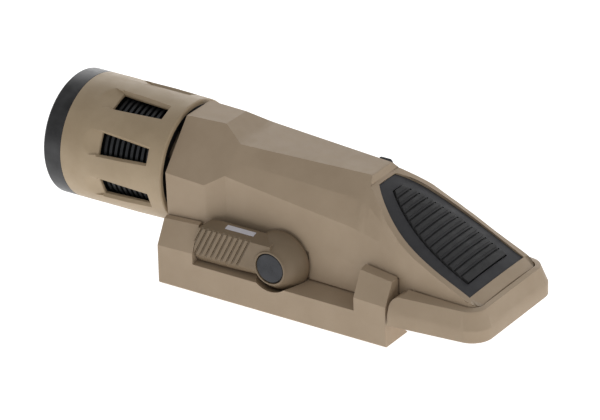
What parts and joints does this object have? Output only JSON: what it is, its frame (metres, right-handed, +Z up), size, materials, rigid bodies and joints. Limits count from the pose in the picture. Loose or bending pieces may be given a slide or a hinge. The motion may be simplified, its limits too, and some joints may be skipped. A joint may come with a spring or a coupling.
{
  "type": "tactical flashlight",
  "caption": "Rail-mounted tactical flashlight with a twist-lock vented head, ribbed rear thumb switch, flip-up switch guard and lever-tightened rail clamp.",
  "frame": {"origin": "centre of the flat rail seat: on the rail's top face, halfway along the clamp", "axes": "+X forward along the beam, +Y to the side with the clamp lever, +Z up away from the rail"},
  "size_m": [0.128, 0.0392, 0.0409],
  "materials": {
    "tan_polymer": "moulded tan polymer with a fine matt texture",
    "tan_shroud": "moulded tan polymer, smooth matt",
    "black_bezel": "black anodised, satin",
    "black_fins": "black anodised aluminium",
    "clear_lens": "polished, coated",
    "seal_rubber": "moulded black rubber",
    "mirror_cup": "vapour-coated mirror",
    "led": "phosphor under clear silicone",
    "copper_board": "white solder mask on aluminium",
    "green_board": "solder mask on glass fibre",
    "contact_metal": "plated brass",
    "spring_steel": "bright spring steel",
    "battery_wrap": "shrink sleeve",
    "black_polymer": "moulded black polymer, fine texture",
    "switch_rubber": "soft black rubber, matt",
    "steel": "turned steel",
    "black_steel": "black oxide",
    "grey_marker": "pale grey insert"
  },
  "bodies": {
    "root": {"body_shell": "tan_polymer", "neck_seal": "seal_rubber", "battery_front": "battery_wrap", "battery_rear": "battery_wrap", "tail_spring": "spring_steel", "tail_contact": "contact_metal", "contact_strip": "contact_metal", "switch_frame": "black_polymer", "switch_board": "green_board", "board_screws": "steel", "tact_switch": "steel", "fixed_jaw": "tan_polymer", "fixed_jaw_screws": "black_steel", "clamp_nut": "steel", "guide_pins": "steel", "recoil_key": "steel", "key_screw": "black_steel", "guard_pins": "steel"},
    "head": {"bezel_ring": "black_bezel", "head_shroud": "tan_shroud", "heat_sink": "black_fins", "front_lens": "clear_lens", "lens_seal": "seal_rubber", "reflector": "mirror_cup", "led_emitter": "led", "led_board": "copper_board", "driver_board": "green_board", "head_contact": "contact_metal"},
    "jaw": {"clamp_jaw": "tan_polymer"},
    "lever": {"clamp_lever": "tan_polymer", "lever_strip": "grey_marker", "clamp_bolt": "steel", "bolt_cap": "black_steel", "lever_washer": "steel"},
    "button": {"switch_button": "switch_rubber", "button_plunger": "black_polymer"},
    "guard": {"guard_bar": "tan_polymer"},
    "selector": {"mode_selector": "black_polymer"}
  },
  "joints": [
    {"name": "head_twist", "type": "hinge", "parent": "root", "child": "head", "pos_m": [0.0365, 0, 0.0182], "axis": [1, 0, 0], "range_deg": [0, 45]},
    {"name": "jaw_slide", "type": "slide", "parent": "root", "child": "jaw", "axis": [0, 1, 0], "range_m": [0, 0.0025]},
    {"name": "lever_throw", "type": "hinge", "parent": "jaw", "child": "lever", "pos_m": [0, 0, 0.0058], "axis": [0, -1, 0], "range_deg": [0, 150]},
    {"name": "switch_press", "type": "slide", "parent": "root", "child": "button", "axis": [0.5075, 0, -0.8616], "range_m": [0, 0.0008], "stiffness_N_per_m": 1500, "springref_m": -0.0002},
    {"name": "guard_flip", "type": "hinge", "parent": "root", "child": "guard", "pos_m": [-0.0377, 0, 0.0036], "axis": [0, 1, 0], "range_deg": [0, 85]},
    {"name": "selector_slide", "type": "slide", "parent": "root", "child": "selector", "axis": [1, 0, 0], "range_m": [0, 0.0024]}
  ],
  "couplings": [
    {"joint": "lever_throw", "follows": "jaw_slide", "rad_per_m": 1047}
  ]
}
